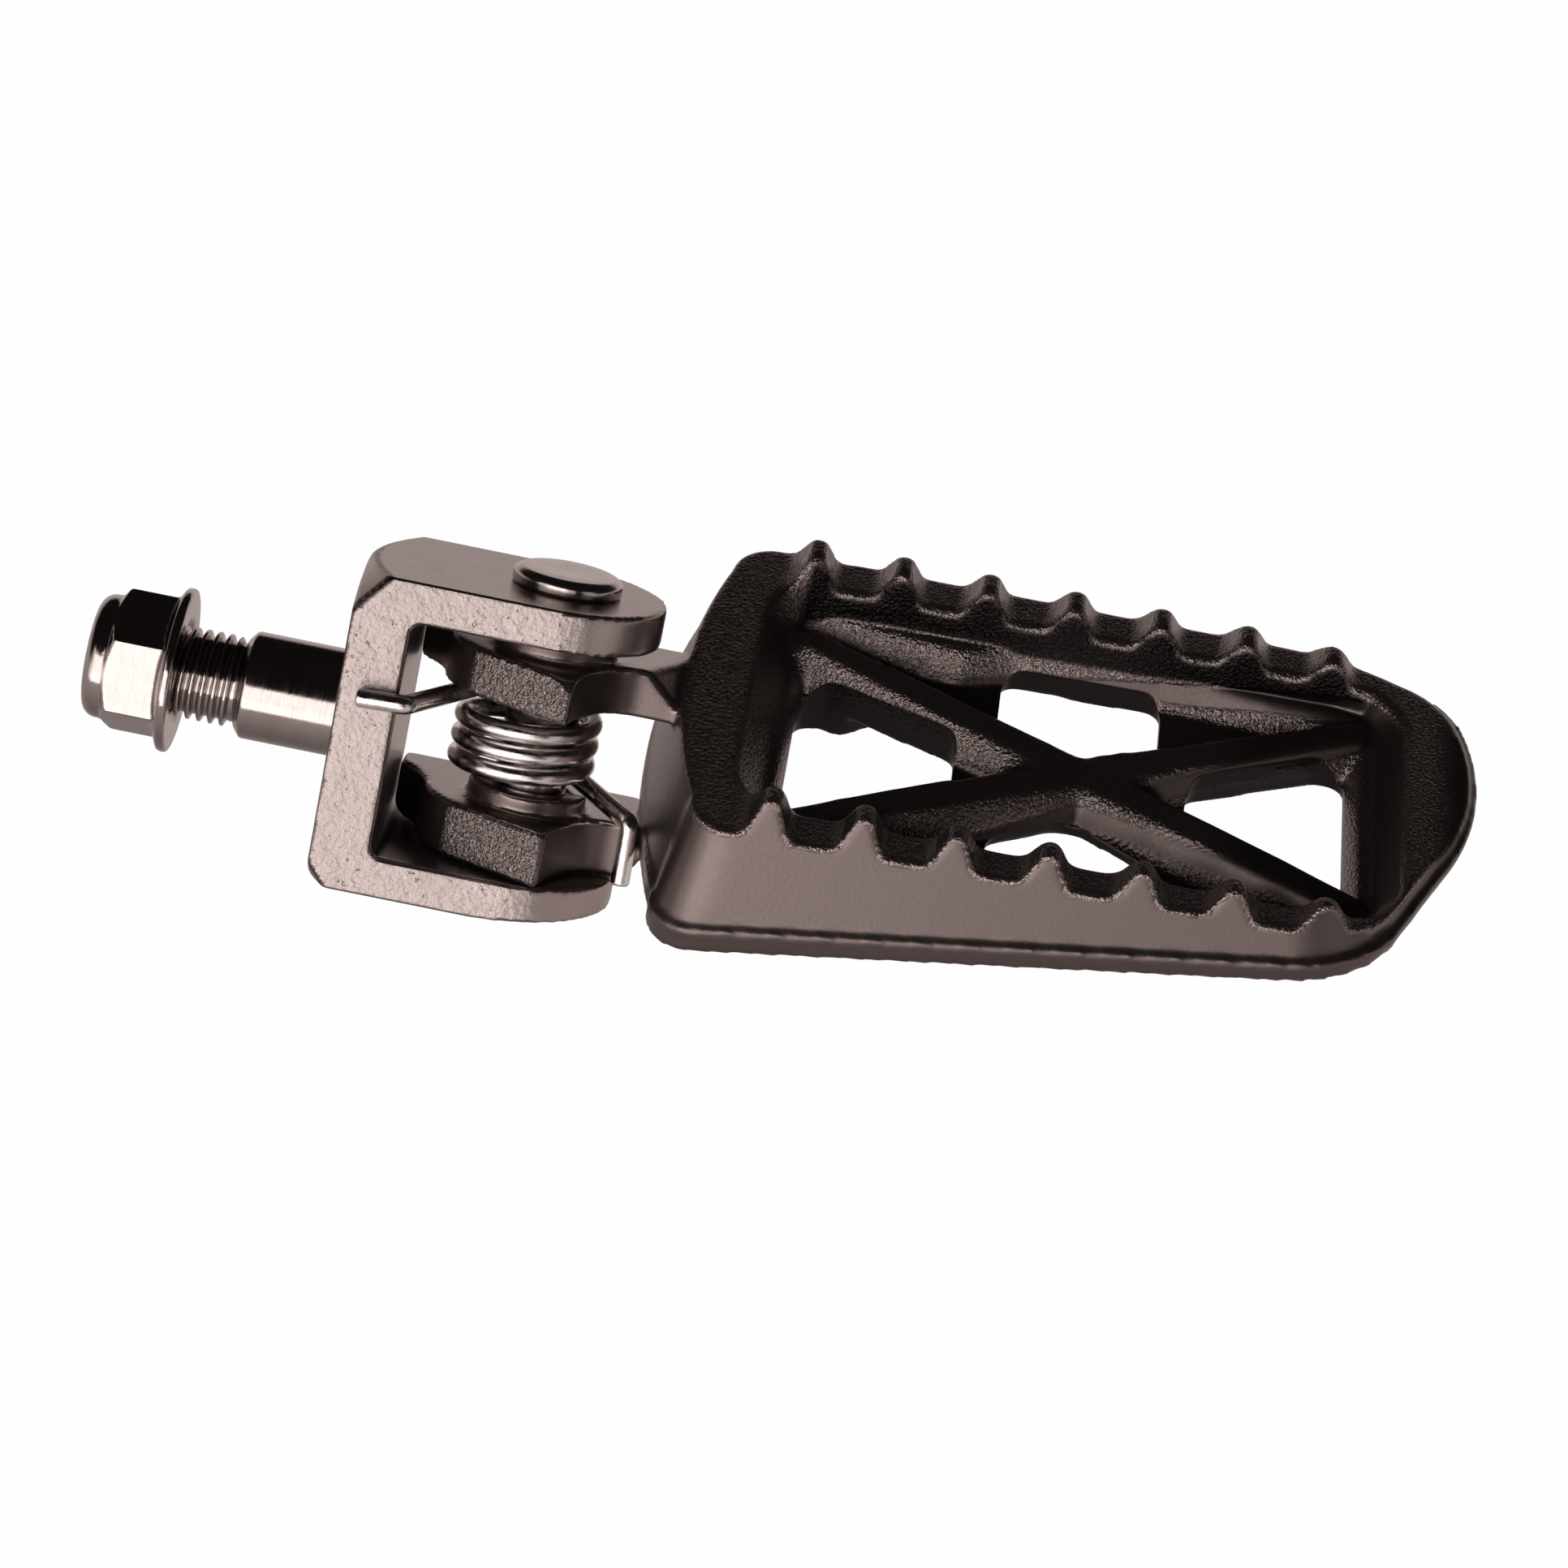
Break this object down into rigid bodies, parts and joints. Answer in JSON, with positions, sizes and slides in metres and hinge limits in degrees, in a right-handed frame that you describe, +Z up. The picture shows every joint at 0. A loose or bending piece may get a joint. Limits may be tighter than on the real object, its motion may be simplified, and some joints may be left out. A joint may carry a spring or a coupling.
{
  "type": "folding foot peg",
  "caption": "Folding right-hand motorcycle foot peg: toothed cast platform hinged on a bracket with a threaded stud, return spring and lock nut.",
  "frame": {"origin": "centre of the bracket's back face, on the stud's axis", "axes": "+X outboard along the stud and the platform, +Y across the platform towards the front wheel, +Z up, square to the tooth tips"},
  "size_m": [0.1516, 0.0601, 0.0414],
  "materials": {
    "forged_steel": "satin, rough forged front",
    "black_steel": "gloss black",
    "nylon": "matte",
    "pin_steel": "satin",
    "spring_wire": "polished",
    "black_casting": "fine-grained satin black"
  },
  "bodies": {
    "bracket": {"bracket": "forged_steel", "hinge_pin": "pin_steel", "pin_washer": "pin_steel", "retaining_ring": "black_steel", "return_spring": "spring_wire"},
    "peg": {"peg_body": "black_casting"},
    "nut": {"lock_nut": "black_steel", "nut_insert": "nylon"}
  },
  "joints": [
    {"name": "peg_fold", "type": "hinge", "parent": "bracket", "child": "peg", "pos_m": [0.0213, 0, 0], "axis": [0, -0.4226, -0.9063], "range_deg": [0, 80], "stiffness_Nm_per_rad": 1.3, "springref_deg": -28.65, "deforming": ["return_spring"]},
    {"name": "nut_off", "type": "slide", "parent": "bracket", "child": "nut", "axis": [-1, 0, 0], "range_m": [0, 0.03]}
  ]
}
